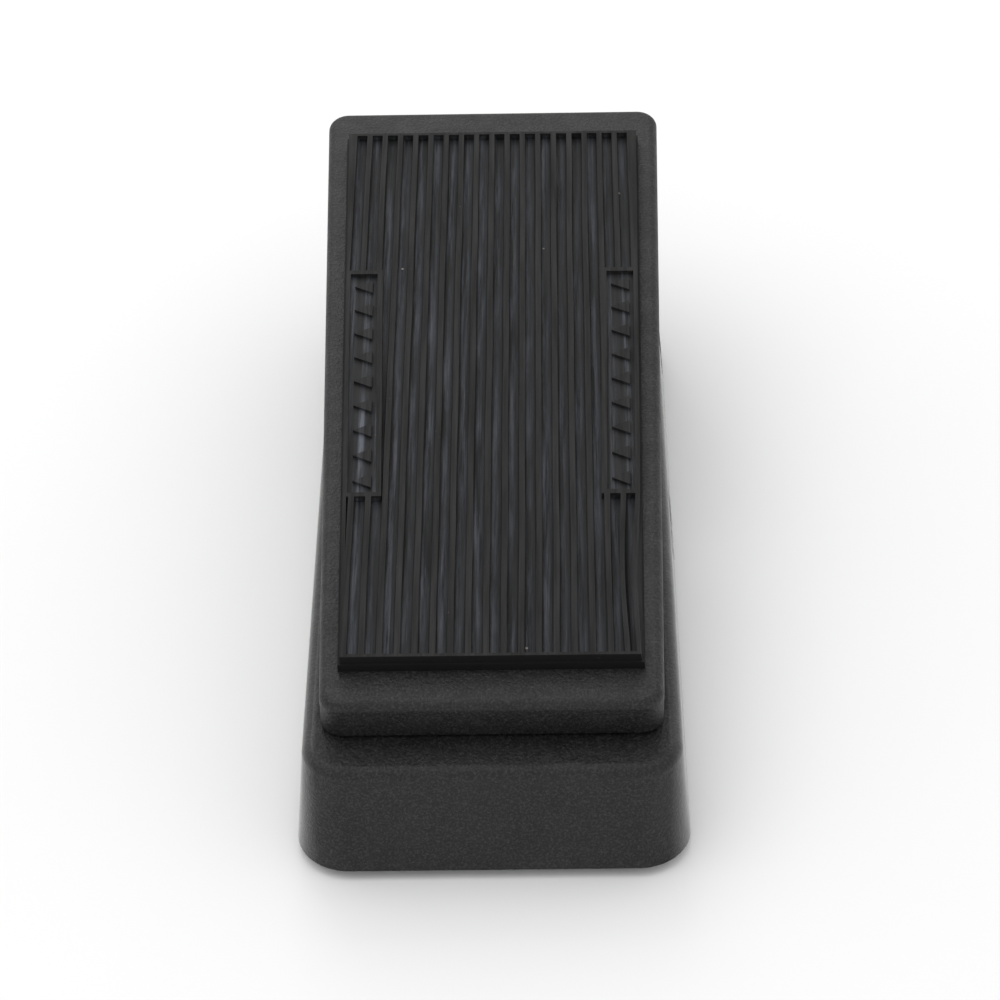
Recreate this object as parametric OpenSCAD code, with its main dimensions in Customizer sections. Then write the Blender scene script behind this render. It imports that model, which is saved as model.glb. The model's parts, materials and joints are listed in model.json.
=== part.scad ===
// Rocker volume pedal: a cast base, and a treadle that rocks heel to toe on a cross shaft.
// The treadle drives a rack, and the rack turns a pinion on the shaft of a potentiometer.
// Frame: +X right, +Y from heel to toe, +Z up. The feet stand on Z = 0, under the base's middle.
// The treadle is drawn with its heel down, and turns about the pivot to put its toe down.

/* [Base] */
// Length of the base at its lower edge
base_len = 252; // [235:1:310]
// Width of the base at its lower edge
base_wid = 102; // [99:1:130]
// Height of the deck above the base's lower edge
base_h = 30; // [30:1:40]
// Thickness of the base's walls and deck
base_wall = 3; // [2.5:0.5:3.5]
// Inward lean of each long side over the base's height
side_lean = 2.2; // [1:0.2:3]
// Inward lean of the heel and toe faces over the base's height
end_lean = 4.8; // [3:0.2:6]
// Plan radius of the heel corners
heel_corner_r = 14; // [12:1:20]
// Plan radius of the toe corners
toe_corner_r = 32; // [16:1:36]
// Rounding of the deck's edge
deck_edge_r = 3; // [2:0.5:4]

/* [Feet and bottom plate] */
// Height of the rubber feet
foot_h = 3; // [3:0.5:8]
// Radius of the rubber feet
foot_r = 8; // [6:0.5:9]
// Thickness of the bottom plate
plate_t = 1.5; // [1:0.1:2]
// Distance of the feet from the base's sides and ends
foot_inset = 15; // [13:0.5:18]

/* [Treadle] */
// Length of the treadle
treadle_len = 237.2; // [215:0.1:290]
// Distance from the pivot forward to the middle of the treadle
treadle_ahead = 10.1; // [5:0.05:12]
// Width of the treadle at the heel
treadle_heel_w = 87.6; // [84:0.2:96]
// Width of the treadle at the toe
treadle_toe_w = 99.2; // [92:0.2:110]
// Plan radius of the treadle's corners
treadle_corner_r = 6; // [4:0.5:8]
// Rounding of the treadle's top edge
treadle_edge_r = 2.5; // [1:0.5:3]
// Thickness of the treadle's top
treadle_top_t = 3; // [2:0.5:4]
// Thickness of the treadle's skirts
skirt_t = 3; // [2:0.5:4]
// Height of the treadle's top face over the pivot
treadle_rise = 16; // [15:0.5:20]
// Gap between the skirts and the deck
skirt_gap = 1; // [0.8:0.1:2]

/* [Pivot] */
// Height of the pivot above the deck
pivot_over_deck = 9; // [8.5:0.1:11]
// Heel-down slope of the treadle in degrees
rest_slope = 6.75; // [5:0.05:7]
// Travel of the treadle from heel down to toe down in degrees
travel = 12.3; // [8:0.1:12.5]
// Diameter of the pivot shaft
shaft_d = 6; // [5:0.5:7]
// Distance between the outer faces of the two ears on the deck
ear_span = 64; // [56:1:66]
// Thickness of each ear
ear_t = 8; // [6:0.5:10]
// Wall of the pivot bushes
bush_wall = 1.5; // [1:0.25:2]

/* [Tread pad] */
// Thickness of the rubber pad
pad_t = 5; // [3.5:0.5:6]
// Border of bare treadle at the heel
pad_heel_border = 11.9; // [8:0.1:20]
// Border of bare treadle at the toe
pad_toe_border = 15.7; // [8:0.1:20]
// Border of bare treadle at each side of the heel
pad_side_heel = 4.9; // [4:0.1:8]
// Border of bare treadle at each side of the toe
pad_side_toe = 5.8; // [4:0.1:8]
// Number of grooves
groove_n = 18; // [12:1:18]
// Distance from groove to groove
groove_pitch = 4.55; // [3.5:0.01:4.6]
// Width of a raised rib between grooves
rib_w = 1.55; // [1:0.05:2]
// Depth of the grooves
groove_depth = 2.2; // [1:0.1:3]
// Width of the flat frame round the grooves
pad_frame = 1.6; // [1:0.1:3]
// Turn of the ribs against the pad's middle line in degrees
rib_turn = -0.36; // [-0.5:0.01:0.5]
// Length of each sunken panel
panel_len = 87; // [60:1:90]
// Width of each sunken panel
panel_w = 7.6; // [6:0.1:8]
// Number of raised arrows in each panel
arrow_n = 9; // [5:1:10]

/* [Rack and pinion] */
// Distance from the pivot to the rack pin, along the treadle
pin_arm = 42.9; // [40:0.1:46]
// Height of the rack pin above the pivot, square to the treadle
pin_rise = 2.5; // [2:0.1:4]
// Diameter of the rack pin
pin_d = 3; // [2.5:0.1:3.5]
// Tooth module of the rack and the pinion
tooth_module = 0.85; // [0.8:0.01:0.9]
// Number of teeth on the pinion
pinion_n = 12; // [12:1:13]
// Width of the rack
rack_w = 6; // [5:0.5:7]
// Depth of the rack from its tooth tips to its back
rack_depth = 7; // [6:0.5:8]
// Height of the pinion above the base's lower edge
pinion_h = 18; // [17.5:0.1:19]

/* [Potentiometer] */
// Radius of the potentiometer's can
pot_r = 8.25; // [7.5:0.05:8.5]
// Length of the potentiometer's can
pot_len = 8; // [6:0.5:12]
// Diameter of the potentiometer's shaft
pot_shaft_d = 6; // [5:0.1:6.3]
// Thickness of the bracket plates
bracket_t = 1.5; // [1:0.1:2]

/* [Jacks] */
// Distance from the toe end to the jacks
jack_from_toe = 46; // [44:1:60]
// Height of the jacks above the base's lower edge
jack_h = 14.5; // [14:0.5:16]
// How far the jacks' seats are set in from the side walls' upper edges
jack_recess = 3.4; // [2:0.1:4]
// Bore of the jacks, for a quarter-inch plug
jack_bore_d = 6.4; // [6.37:0.01:6.44]
// Outer diameter of the threaded bushing
jack_bush_d = 9.4; // [9:0.1:9.6]

/* [Hidden] */
$fn = 48;

cast_black = [0.09, 0.09, 0.1];
rubber_black = [0.14, 0.14, 0.15];
steel = [0.68, 0.69, 0.71];
nickel = [0.78, 0.77, 0.73];
brass = [0.78, 0.62, 0.3];
nylon = [0.9, 0.89, 0.84];
phenolic = [0.42, 0.25, 0.13];
print_white = [0.93, 0.93, 0.92];

// Radial clearances: parts that turn in each other, and screws in their holes.
run_gap = 0.05;
screw_gap = 0.05;
// Overlap of one solid into the next where they are one casting, and overshoot of cuts.
bite = 1;

deck_z = foot_h + base_h;
deck_under_z = deck_z - base_wall;
plate_top_z = foot_h + plate_t;

screw_r = 1.5;
screw_head_r = 2.7;
screw_head_h = 2.2;

// Rounded outline with four corner radii, drawn as one polygon, counter-clockwise from the
// heel's right corner. Each corner is [x, y, radius, first angle].
function corner_arc(c, steps = 12) =
    [for (i = [0:steps]) [c[0] + c[2] * cos(c[3] + 90 * i / steps),
                          c[1] + c[2] * sin(c[3] + 90 * i / steps)]];

function base_outline(inset) = let (
    hx = base_wid / 2 - heel_corner_r, hy = base_len / 2 - heel_corner_r,
    tx = base_wid / 2 - toe_corner_r, ty = base_len / 2 - toe_corner_r,
    hr = heel_corner_r - inset, tr = toe_corner_r - inset)
    concat(corner_arc([hx, -hy, hr, -90]), corner_arc([tx, ty, tr, 0]),
           corner_arc([-tx, ty, tr, 90]), corner_arc([-hx, -hy, hr, 180]));

// ---- Base ----

// Quarter profile of a round post with a rounded upper edge.
module round_post(r, h, edge) {
    rotate_extrude()
        polygon(concat([[0, 0], [r, 0]],
                       [for (a = [0:15:90]) [r - edge + edge * cos(a), h - edge + edge * sin(a)]],
                       [[0, h]]));
}

// Block with leaning sides between a lower and an upper height; inset thins it all round.
module leaning_block(z0, z1, inset, edge) {
    hull()
        for (side = [-1, 1], end = [-1, 1]) {
            r = corner_of(end);
            x = side * (base_wid / 2 - r);
            y = end * (base_len / 2 - r);
            translate([x, y, z0]) cylinder(r = r - inset, h = 0.1);
            translate([x, y - end * (end_lean - side_lean), z1 - edge - 0.5])
                round_post(r - inset - side_lean, edge + 0.5, edge);
        }
}

// Distance of a foot from a side, far enough in to clear a corner of radius r by the same inset.
function foot_in(r) = max(foot_inset, r - (r - foot_inset) / sqrt(2));
function corner_of(end) = end < 0 ? heel_corner_r : toe_corner_r;
function foot_x(end) = base_wid / 2 - foot_in(corner_of(end));
function foot_y(end) = base_len / 2 - foot_in(corner_of(end)) - (end_lean - side_lean);
post_r = 5;
foot_screw_r = 2;
foot_head_r = 3.8;
foot_head_h = 1.6;
foot_head_z = 0.4;
foot_screw_len = 13;

module at_feet() {
    for (side = [-1, 1], end = [-1, 1])
        translate([side * foot_x(end), end * foot_y(end), 0]) children();
}

pivot_z = deck_z + pivot_over_deck;
ear_r = 9;
bush_r = shaft_d / 2 + run_gap + bush_wall;
bush_flange_r = bush_r + 1.5;
bush_flange_t = 1;

// Cylinder along X between two places.
module rod(x0, x1, r) {
    translate([x0, 0, 0]) rotate([0, 90, 0]) cylinder(r = r, h = x1 - x0);
}

module ring(x0, x1, r_out, r_in) {
    difference() {
        rod(x0, x1, r_out);
        rod(x0 - bite, x1 + bite, r_in);
    }
}

module at_pivot() {
    translate([0, 0, pivot_z]) children();
}

module ear() {
    x0 = ear_span / 2 - ear_t;
    at_pivot() rod(x0, ear_span / 2, ear_r);
    translate([x0, -ear_r, deck_z - bite]) cube([ear_t, 2 * ear_r, pivot_over_deck + bite]);
}

// The place of a point of the treadle, [y, z] from the pivot, once it has turned by an angle.
function turned(y, z, angle) = [y * cos(angle) - z * sin(angle),
                                pivot_z + y * sin(angle) + z * cos(angle)];

bumper_r = 5;
bumper_seat = 1;
bumper_x = 25;
bumper_gap = 0.1;
treadle_heel_y = treadle_ahead - treadle_len / 2;
treadle_toe_y = treadle_ahead + treadle_len / 2;
bumper_end_gap = 12;
bumper_centre_h = treadle_rise - treadle_top_t - bumper_r - bumper_gap;
heel_bumper_at = turned(treadle_heel_y + bumper_end_gap, bumper_centre_h, rest_slope);
toe_bumper_at = turned(treadle_toe_y - bumper_end_gap - 2, bumper_centre_h, rest_slope - travel);

// Rack and pinion places. The rack stands straight, centred on the middle of the pin's swing.
pin_radius = sqrt(pin_arm * pin_arm + pin_rise * pin_rise);
pin_angle = rest_slope + atan2(pin_rise, pin_arm);
pin_rest = turned(pin_arm, pin_rise, rest_slope);
rack_y = (pin_rest[0] + pin_radius) / 2;
rack_drop = pin_radius * (sin(pin_angle) - sin(pin_angle - travel));
tooth_angle = 25;
tooth_tip = 0.85 * tooth_module;
tooth_root = 1.12 * tooth_module;
tooth_pitch = PI * tooth_module;
tooth_thin = 0.1;
pitch_r = tooth_module * pinion_n / 2;
pinion_y = rack_y - rack_depth / 2 + tooth_tip - pitch_r;
pinion_z = foot_h + pinion_h;

rack_slot_gap = 1.5;
rack_head_depth = 9.2;
guide_gap = 0.15;
guide_wall = 2.4;
guide_inner = rack_w / 2 + guide_gap + 0.1;
guide_screw_x = guide_inner + guide_wall + screw_head_r + 0.25;
guide_depth = 6;
guide_screw_y = rack_y + rack_depth / 2 + guide_gap + guide_depth / 2;
boss_r = 3.2;
guide_boss_h = 2;
screw_bite = 1.5;

bracket_x = rack_w / 2 + 13;
tab_y = [pinion_y - pot_r - 4, pinion_y + pot_r + 4];
tab_screw_x = bracket_x + bracket_t + 5.5;
tab_drop = 4;

module deck_boss(x, y, h) {
    translate([x, y, deck_under_z - h]) cylinder(r = boss_r, h = h + bite);
}

module blind_hole(x, y, h) {
    translate([x, y, deck_under_z - h - bite])
        cylinder(r = screw_r + screw_gap, h = h + bite + screw_bite + 0.5);
}

// Jack places, drawn for the right side and mirrored for the left.
jack_y = base_len / 2 - jack_from_toe;
jack_z = foot_h + jack_h;
wall_top_x = base_wid / 2 - side_lean;
jack_seat_x = wall_top_x - jack_recess;
jack_pad_x = jack_seat_x - base_wall;
jack_well_r = 9;
jack_boss_r = jack_well_r + 1.7;
jack_bush_r = jack_bush_d / 2;

module at_jack(side) {
    mirror([side < 0 ? 1 : 0, 0, 0]) translate([0, jack_y, jack_z]) children();
}

brake_x = 9;
brake_y = 11;
brake_screw_y = 7.5;

module base_housing() {
    color(cast_black) difference() {
        union() {
            difference() {
                leaning_block(foot_h, deck_z, 0, deck_edge_r);
                leaning_block(foot_h - bite, deck_under_z, base_wall, deck_edge_r / 2);
            }
            at_feet() translate([0, 0, plate_top_z])
                cylinder(r = post_r, h = deck_under_z - plate_top_z + bite);
            for (m = [0, 1]) mirror([m, 0, 0]) ear();
            for (y = tab_y) deck_boss(tab_screw_x, y, tab_drop);
            for (side = [-1, 1]) {
                deck_boss(side * guide_screw_x, guide_screw_y, guide_boss_h);
                at_jack(side) rod(jack_pad_x, wall_top_x - 0.4, jack_boss_r);
            }
        }
        at_feet() translate([0, 0, plate_top_z - bite])
            cylinder(r = foot_screw_r + screw_gap, h = foot_screw_len);
        at_pivot() rod(-ear_span / 2 - bite, ear_span / 2 + bite, bush_r + 0.02);
        translate([-rack_w / 2 - rack_slot_gap, rack_y - rack_depth / 2 - rack_slot_gap,
                   deck_under_z - bite])
            cube([rack_w + 2 * rack_slot_gap, rack_depth + 2 * rack_slot_gap,
                  base_wall + 2 * bite]);
        for (y = tab_y) blind_hole(tab_screw_x, y, tab_drop);
        for (side = [-1, 1]) {
            blind_hole(side * guide_screw_x, guide_screw_y, guide_boss_h);
            at_jack(side) {
                rod(jack_seat_x, base_wid / 2 + bite, jack_well_r);
                rod(jack_pad_x - bite, jack_seat_x + bite, jack_bush_r + 0.15);
            }
            translate([side * bumper_x, heel_bumper_at[0], deck_z - bumper_seat])
                cylinder(r = bumper_r + 0.1, h = bumper_seat + bite);
            translate([side * bumper_x, toe_bumper_at[0], deck_z - bumper_seat])
                cylinder(r = bumper_r + 0.1, h = bumper_seat + bite);
            translate([0, side * brake_screw_y, deck_under_z - bite])
                cylinder(r = screw_r + screw_gap, h = base_wall + 2 * bite);
        }
    }
}

plate_gap = 0.4;

module bottom_plate() {
    color(steel) difference() {
        translate([0, 0, foot_h]) linear_extrude(plate_t)
            polygon(base_outline(base_wall + side_lean * plate_t / base_h + plate_gap));
        at_feet() translate([0, 0, foot_h - bite])
            cylinder(r = foot_screw_r + 0.2, h = plate_t + 2 * bite);
    }
}

module foot(side, end) {
    color(rubber_black) translate([side * foot_x(end), end * foot_y(end), 0]) difference() {
        cylinder(r = foot_r, h = foot_h);
        translate([0, 0, -bite]) cylinder(r = foot_screw_r + 0.2, h = foot_h + 2 * bite);
        translate([0, 0, -bite])
            cylinder(r = foot_head_r + 0.3, h = bite + foot_head_z + foot_head_h);
    }
}

// Two crossed slots for a driver, cut into a face at z = 0 from below.
module cross_slot(r, depth) {
    for (a = [0, 90]) rotate([0, 0, a]) translate([-r, -0.4, -bite]) cube([2 * r, 0.8, bite + depth]);
}

module foot_screws() {
    color(nickel) at_feet() translate([0, 0, foot_head_z]) difference() {
        union() {
            cylinder(r = foot_head_r, h = foot_head_h);
            cylinder(r = foot_screw_r, h = foot_screw_len);
        }
        cross_slot(2.2, 0.9);
    }
}

module bumper(side, at) {
    color(rubber_black) {
        translate([side * bumper_x, at[0], deck_z - bumper_seat])
            cylinder(r = bumper_r, h = at[1] - deck_z + bumper_seat);
        translate([side * bumper_x, at[0], at[1]]) sphere(r = bumper_r);
    }
}

mark_bars = 5;
mark_pitch = 4.6;
mark_bar_w = 3;
mark_low = 4;
mark_step = 2.6;
mark_t = 0.2;

// Rising bars printed on the right side of the base, for the volume that grows towards the toe.
module side_mark() {
    lean_angle = atan2(side_lean, base_h);
    color(print_white) translate([base_wid / 2 + 0.02, 0, foot_h]) rotate([0, -lean_angle, 0])
        for (i = [0:mark_bars - 1])
            translate([0, (i - mark_bars / 2) * mark_pitch, 7])
                cube([mark_t, mark_bar_w, mark_low + i * mark_step]);
}

// ---- Pivot and brake ----

module pivot_bush(side) {
    color(nylon) mirror([side < 0 ? 1 : 0, 0, 0]) at_pivot() difference() {
        union() {
            rod(ear_span / 2 - ear_t, ear_span / 2, bush_r);
            rod(ear_span / 2, ear_span / 2 + bush_flange_t, bush_flange_r);
        }
        rod(0, ear_span, shaft_d / 2 + run_gap);
    }
}

brake_cap_h = shaft_d / 2 + 2.5;

module brake_body(z0, z1) {
    difference() {
        translate([-brake_x, -brake_y, z0]) cube([2 * brake_x, 2 * brake_y, z1 - z0]);
        at_pivot() rod(-brake_x - bite, brake_x + bite, shaft_d / 2 + run_gap);
        for (side = [-1, 1]) translate([0, side * brake_screw_y, z0 - bite])
            cylinder(r = screw_r + screw_gap, h = z1 - z0 + 2 * bite);
    }
}

brake_split = 0.3;

module brake_block() {
    color(nylon) brake_body(deck_z, pivot_z - brake_split / 2);
}

module brake_cap() {
    color(steel) brake_body(pivot_z + brake_split / 2, pivot_z + brake_cap_h);
}

module brake_screws() {
    color(nickel) for (side = [-1, 1]) translate([0, side * brake_screw_y, 0]) {
        translate([0, 0, deck_under_z]) cylinder(r = screw_r, h = pivot_z + brake_cap_h - deck_under_z);
        translate([0, 0, pivot_z + brake_cap_h]) difference() {
            cylinder(r = screw_head_r, h = screw_head_h);
            translate([0, 0, screw_head_h]) mirror([0, 0, 1]) cross_slot(1.6, 0.9);
        }
    }
}

// ---- Treadle: drawn square to its own top face, with the pivot at the origin ----

module on_treadle() {
    at_pivot() rotate([rest_slope, 0, 0]) children();
}

skirt_drop = pivot_over_deck - skirt_gap;
treadle_cut = 60;

// Half the treadle's width at a place along it.
function treadle_half(y) = treadle_heel_w / 2
    + (treadle_toe_w - treadle_heel_w) / 2 * (y - treadle_heel_y) / treadle_len;

// Tapered block with rounded corners, thinned by an inset.
module treadle_block(z0, z1, inset, edge) {
    r = treadle_corner_r;
    hull() for (side = [-1, 1], y = [treadle_heel_y + r, treadle_toe_y - r])
        translate([side * (treadle_half(y) - r), y, z0]) round_post(r - inset, z1 - z0, edge);
}

lug_r = 6.5;
lug_x = ear_span / 2 + bush_flange_t + 0.5;
set_screw_r = 2;
set_screw_len = 5;
socket_r = 1.1;
socket_depth = 2;

module lug() {
    outer = treadle_half(0) - skirt_t / 2;
    rod(lug_x, outer, lug_r);
    translate([lug_x, -lug_r, 0])
        cube([outer - lug_x, 2 * lug_r, treadle_rise - treadle_top_t / 2]);
}

set_screw_x = lug_x + 4.5;
rack_screw_x = 9;
rack_screw_head_r = 3;
rack_screw_head_h = 1.6;
skirt_spare = 4;
cut_overlap = 20;

module treadle() {
    below = -skirt_drop - skirt_spare;
    color(cast_black) on_treadle() difference() {
        union() {
            difference() {
                treadle_block(below, treadle_rise, 0, treadle_edge_r);
                treadle_block(below - bite, treadle_rise - treadle_top_t, skirt_t, 1);
            }
            for (m = [0, 1]) mirror([m, 0, 0]) lug();
        }
        rotate([-rest_slope, 0, 0])
            translate([-base_wid, -base_len, -skirt_drop - treadle_cut])
                cube([2 * base_wid, base_len + cut_overlap, treadle_cut]);
        rotate([travel - rest_slope, 0, 0])
            translate([-base_wid, -cut_overlap, -skirt_drop - treadle_cut])
                cube([2 * base_wid, base_len, treadle_cut]);
        rod(-base_wid, base_wid, shaft_d / 2 + 0.02);
        for (side = [-1, 1]) {
            translate([side * set_screw_x, 0, 0])
                cylinder(r = set_screw_r + 0.02, h = treadle_rise + bite);
            translate([side * rack_screw_x, pin_arm, 0]) {
                cylinder(r = screw_r + screw_gap, h = treadle_rise + bite);
                translate([0, 0, treadle_rise - rack_screw_head_h])
                    cylinder(r1 = screw_r + screw_gap, r2 = rack_screw_head_r + screw_gap,
                             h = rack_screw_head_h);
                translate([0, 0, treadle_rise])
                    cylinder(r = rack_screw_head_r + screw_gap, h = bite);
            }
        }
    }
}

module pivot_shaft() {
    half = treadle_half(0) - 1;
    color(steel) at_pivot() rod(-half, half, shaft_d / 2);
}

module shaft_set_screws() {
    color(steel) on_treadle() for (side = [-1, 1])
        translate([side * set_screw_x, 0, shaft_d / 2]) difference() {
            cylinder(r = set_screw_r, h = set_screw_len);
            translate([0, 0, set_screw_len - socket_depth])
                cylinder(r = socket_r, h = socket_depth + bite, $fn = 6);
        }
}

// ---- Tread pad ----

pad_y0 = treadle_heel_y + pad_heel_border;
pad_y1 = treadle_toe_y - pad_toe_border;

// Half the pad's width at a place along it.
function pad_half(y) = let (
    heel_half = treadle_half(pad_y0) - pad_side_heel,
    toe_half = treadle_half(pad_y1) - pad_side_toe)
    heel_half + (toe_half - heel_half) * (y - pad_y0) / (pad_y1 - pad_y0);

// Prism of the pad's outline between two ends, between two distances in from its sides.
module pad_prism(y0, y1, inset, z0, z1) {
    translate([0, 0, z0]) linear_extrude(z1 - z0)
        polygon([[inset - pad_half(y0), y0], [pad_half(y0) - inset, y0],
                 [pad_half(y1) - inset, y1], [inset - pad_half(y1), y1]]);
}

// Strip along one side of the pad, from one distance in from the side to another.
module side_strip(side, y0, y1, near, far, z0, z1) {
    translate([0, 0, z0]) linear_extrude(z1 - z0)
        polygon([[side * (pad_half(y0) - near), y0], [side * (pad_half(y0) - far), y0],
                 [side * (pad_half(y1) - far), y1], [side * (pad_half(y1) - near), y1]]);
}

pad_top = treadle_rise + pad_t;
panel_y = (pad_y0 + pad_y1) / 2 - 2;
panel_depth = 1.4;
panel_edge = 1.5;
panel_near = 1.9;
arrow_h = 0.9;
arrow_w = 5;

// Grooves side by side, with the left wall of the middle one on the pad's middle line.
module grooves() {
    rotate([0, 0, rib_turn]) for (i = [0:groove_n - 1])
        translate([(i - groove_n / 2) * groove_pitch, pad_y0 - bite, pad_top - groove_depth])
            cube([groove_pitch - rib_w, pad_y1 - pad_y0 + 2 * bite, groove_depth + bite]);
}

// Arrow head that points to -X, the way the signal goes, centred on the origin.
module arrow(w) {
    linear_extrude(arrow_h)
        polygon([[w / 2, -w / 2], [w / 2, w / 2], [-w / 2, 0]]);
}

module tread_pad() {
    y0 = panel_y - panel_len / 2;
    y1 = panel_y + panel_len / 2;
    color(rubber_black) on_treadle() {
        difference() {
            pad_prism(pad_y0, pad_y1, 0, treadle_rise, pad_top);
            difference() {
                intersection() {
                    grooves();
                    pad_prism(pad_y0 + pad_frame, pad_y1 - pad_frame, pad_frame,
                              treadle_rise, pad_top + bite);
                }
                for (side = [-1, 1])
                    side_strip(side, y0 - panel_edge, y1 + panel_edge, 0,
                               panel_near + panel_w + panel_edge, treadle_rise, pad_top + 2 * bite);
            }
            for (side = [-1, 1])
                side_strip(side, y0, y1, panel_near, panel_near + panel_w,
                           pad_top - panel_depth, pad_top + bite);
        }
        for (side = [-1, 1], i = [0:arrow_n - 1]) {
            y = panel_y + (i - (arrow_n - 1) / 2) * panel_len / arrow_n;
            translate([side * (pad_half(y) - panel_near - panel_w / 2), y,
                       pad_top - panel_depth]) arrow(arrow_w);
        }
    }
}

// ---- Rack bracket, pin and rack ----

cheek_x = rack_w / 2 + 0.6;
cheek_r = 4;
flange_x = 12.5;
flange_y = 7;
rack_screw_len = 7;

module rack_bracket() {
    under = treadle_rise - treadle_top_t;
    color(steel) on_treadle() difference() {
        union() {
            translate([-flange_x, pin_arm - flange_y, under - bracket_t])
                cube([2 * flange_x, 2 * flange_y, bracket_t]);
            for (m = [0, 1]) mirror([m, 0, 0]) translate([0, pin_arm, 0]) {
                translate([0, 0, pin_rise]) rod(cheek_x, cheek_x + bracket_t, cheek_r);
                translate([cheek_x, -cheek_r, pin_rise])
                    cube([bracket_t, 2 * cheek_r, under - pin_rise - bracket_t / 2]);
            }
        }
        translate([0, pin_arm, pin_rise]) rod(-flange_x, flange_x, pin_d / 2 + 0.02);
        for (side = [-1, 1]) translate([side * rack_screw_x, pin_arm, under - bracket_t - bite])
            cylinder(r = screw_r + screw_gap, h = bracket_t + 2 * bite);
    }
}

module rack_bracket_screws() {
    color(nickel) on_treadle() for (side = [-1, 1])
        translate([side * rack_screw_x, pin_arm, treadle_rise]) mirror([0, 0, 1]) difference() {
            union() {
                cylinder(r1 = rack_screw_head_r, r2 = screw_r, h = rack_screw_head_h);
                cylinder(r = screw_r, h = rack_screw_len);
            }
            cross_slot(1.6, 0.9);
        }
}

pin_head_r = 2.5;
clip_gap = 0.1;
clip_t = 0.6;

module rack_pin() {
    end_x = cheek_x + bracket_t + clip_gap;
    color(steel) on_treadle() translate([0, pin_arm, pin_rise]) {
        rod(-end_x - clip_t - 0.8, end_x, pin_d / 2);
        rod(end_x, end_x + 1, pin_head_r);
    }
}

module rack_pin_clip() {
    end_x = cheek_x + bracket_t + clip_gap;
    color(steel) on_treadle() translate([0, pin_arm, pin_rise]) difference() {
        ring(-end_x - clip_t, -end_x, pin_head_r + 0.4, pin_d / 2 + 0.02);
        translate([-end_x - clip_t - bite, 0, -0.6]) cube([clip_t + 2 * bite, pin_head_r + bite, 1.2]);
    }
}

rack_foot_z = pinion_z - 3.6;
rack_teeth = ceil((rack_drop + 8) / tooth_pitch);
slot_half_h = pin_d / 2 + 0.35;
slot_half_l = slot_half_h + 1;
rack_head_h = 9;

// One rack tooth that points to -Y, from its root to its tip, about the pitch line.
module rack_tooth() {
    half = tooth_pitch / 4 - tooth_thin;
    rise = tan(tooth_angle);
    translate([-rack_w / 2, 0, 0]) rotate([90, 0, 90]) linear_extrude(rack_w)
        polygon([[tooth_root + 0.3, -half - tooth_root * rise], [tooth_root, -half - tooth_root * rise],
                 [-tooth_tip, -half + tooth_tip * rise], [-tooth_tip, half - tooth_tip * rise],
                 [tooth_root, half + tooth_root * rise], [tooth_root + 0.3, half + tooth_root * rise]]);
}

module rack() {
    front = rack_y - rack_depth / 2;
    stem_y = front + tooth_tip + tooth_root;
    teeth_z = pinion_z - 0.5 * tooth_pitch;
    pin_z = pin_rest[1];
    head_z = pin_z - rack_head_h / 2;
    color(brass) {
        translate([-rack_w / 2, stem_y, rack_foot_z])
            cube([rack_w, rack_y + rack_depth / 2 - stem_y, head_z - rack_foot_z + bite]);
        for (i = [0:rack_teeth - 1])
            translate([0, front + tooth_tip, teeth_z + i * tooth_pitch]) rack_tooth();
        difference() {
            translate([-rack_w / 2, rack_y - rack_head_depth / 2, head_z])
                cube([rack_w, rack_head_depth, rack_head_h]);
            translate([-rack_w / 2 - bite, rack_y - slot_half_l + slot_half_h, pin_z - slot_half_h])
                cube([rack_w + 2 * bite, 2 * (slot_half_l - slot_half_h), 2 * slot_half_h]);
            for (side = [-1, 1])
                translate([0, rack_y + side * (slot_half_l - slot_half_h), pin_z])
                    rod(-rack_w, rack_w, slot_half_h);
        }
    }
}

guide_z0 = foot_h + 11;
guide_lip = 2.8;
guide_flange_t = 4;

module rack_guide() {
    back = rack_y + rack_depth / 2 + guide_gap;
    color(nylon) difference() {
        union() {
            translate([-guide_inner - guide_wall, back - guide_lip, guide_z0])
                cube([2 * (guide_inner + guide_wall), guide_lip + guide_depth,
                      deck_under_z - guide_z0]);
            translate([-guide_screw_x - boss_r, back, deck_under_z - guide_boss_h - guide_flange_t])
                cube([2 * (guide_screw_x + boss_r), guide_depth, guide_flange_t]);
        }
        translate([-guide_inner, back - guide_lip - bite, guide_z0 - bite])
            cube([2 * guide_inner, guide_lip + bite, base_h]);
        for (side = [-1, 1]) translate([side * guide_screw_x, guide_screw_y, guide_z0]) {
            cylinder(r = screw_r + screw_gap, h = base_h);
            translate([0, 0, deck_under_z - guide_boss_h - guide_z0])
                cylinder(r = boss_r + 0.1, h = base_h);
        }
    }
}

// Screw that comes up from below, with the underside of its head at z.
module rising_screw(x, y, z, len) {
    color(nickel) translate([x, y, z]) {
        cylinder(r = screw_r, h = len);
        translate([0, 0, -screw_head_h]) difference() {
            cylinder(r = screw_head_r, h = screw_head_h);
            cross_slot(1.6, 0.9);
        }
    }
}

module rack_guide_screws() {
    z = deck_under_z - guide_boss_h - guide_flange_t;
    for (side = [-1, 1])
        rising_screw(side * guide_screw_x, guide_screw_y, z, guide_flange_t + guide_boss_h + screw_bite);
}

// ---- Pinion and potentiometer: drawn along the pinion's axis ----

module at_pinion() {
    translate([0, pinion_y, pinion_z]) children();
}

base_circle_r = pitch_r * cos(tooth_angle);
function involute(a) = tan(a) * 180 / PI - a;
function flank_half(r) = 90 / pinion_n - tooth_thin / pitch_r * 180 / PI
    + involute(tooth_angle) - involute(acos(min(1, base_circle_r / r)));

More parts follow.
